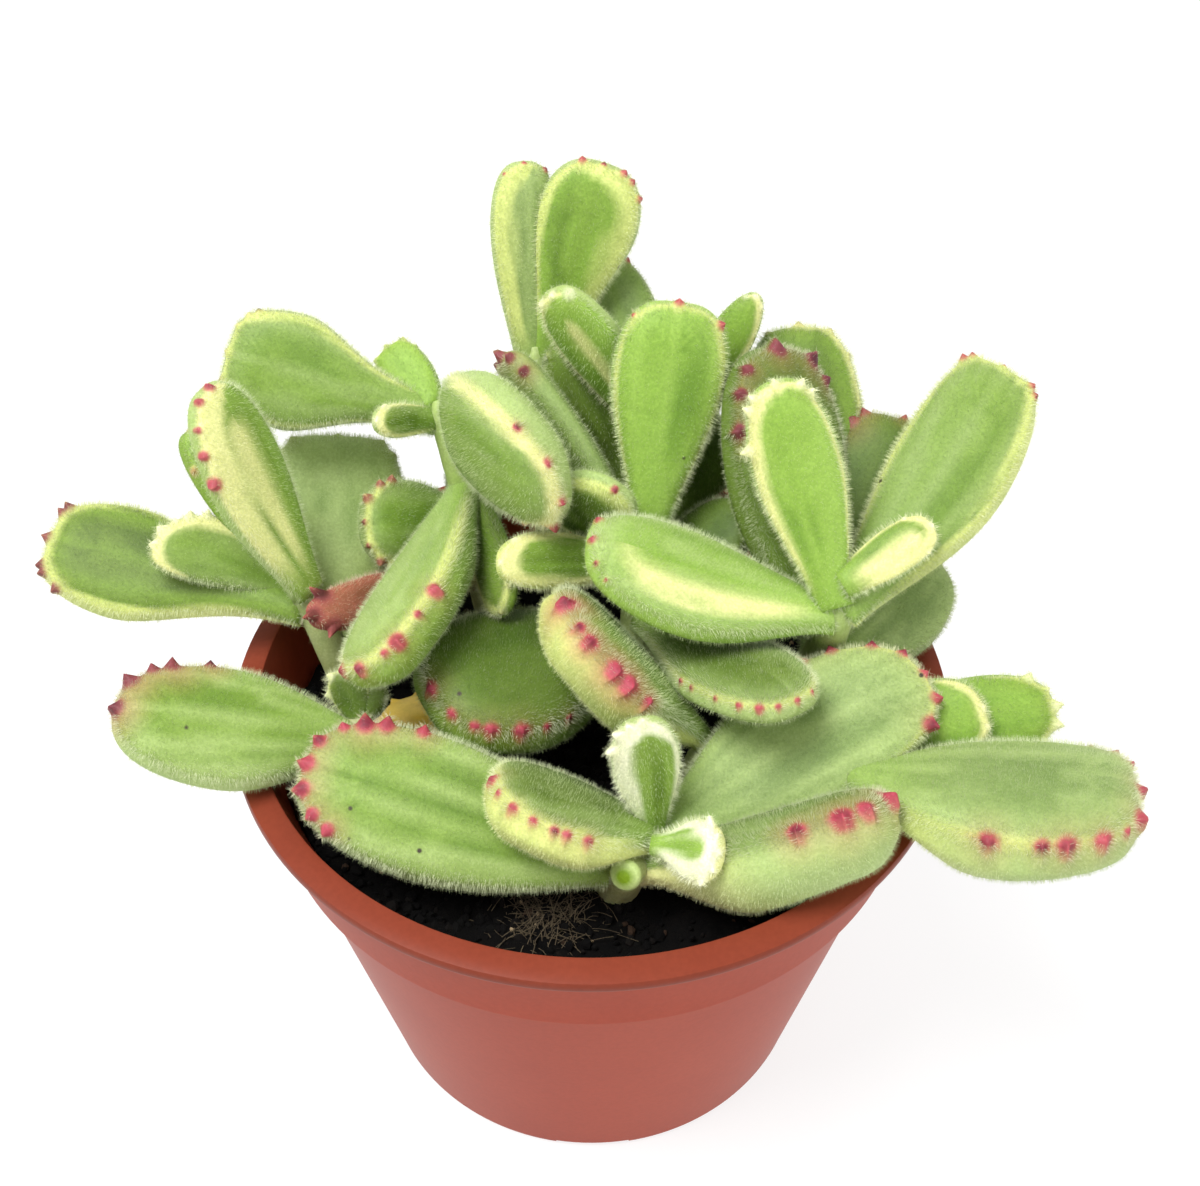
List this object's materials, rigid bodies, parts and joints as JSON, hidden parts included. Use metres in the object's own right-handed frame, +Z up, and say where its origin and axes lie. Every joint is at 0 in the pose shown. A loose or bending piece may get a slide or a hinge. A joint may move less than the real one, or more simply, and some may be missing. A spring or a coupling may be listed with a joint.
{
  "type": "potted variegated cubs paw",
  "caption": "Clump of fleshy hairy leaves with toothed tips on short stems, growing in a small round tapered nursery pot filled with dark soil.",
  "frame": {"origin": "centre of the pot's flat underside, on the pot's axis", "axes": "+Z up along the pot's axis, -Y towards the front that the picture shows, +X to the viewer's right"},
  "size_m": [0.132, 0.093, 0.1143],
  "materials": {
    "pot": "smooth terracotta-coloured plastic",
    "soil": "loose dark moist soil",
    "left_shoot": "soft green leaves with fine white hairs",
    "back_left_shoot": "soft green leaves with fine white hairs",
    "tall_shoot": "soft green leaves with cream margins and fine white hairs",
    "back_shoot": "soft green leaves with cream margins and fine white hairs",
    "middle_shoot": "soft green leaves with cream margins and fine white hairs",
    "right_shoot": "soft green leaves with cream margins and fine white hairs",
    "front_shoot": "soft green leaves with fine white hairs and pink teeth",
    "inner_front_shoot": "soft green leaf with fine white hairs and pink teeth",
    "low_left_shoot": "soft green leaves with fine white hairs",
    "yellow_leaf": "soft dying yellow leaf"
  },
  "bodies": {
    "root": {"pot": "pot", "soil": "soil", "left_shoot": "left_shoot", "back_left_shoot": "back_left_shoot", "tall_shoot": "tall_shoot", "back_shoot": "back_shoot", "middle_shoot": "middle_shoot", "right_shoot": "right_shoot", "front_shoot": "front_shoot", "inner_front_shoot": "inner_front_shoot", "low_left_shoot": "low_left_shoot", "yellow_leaf": "yellow_leaf"}
  },
  "joints": []
}
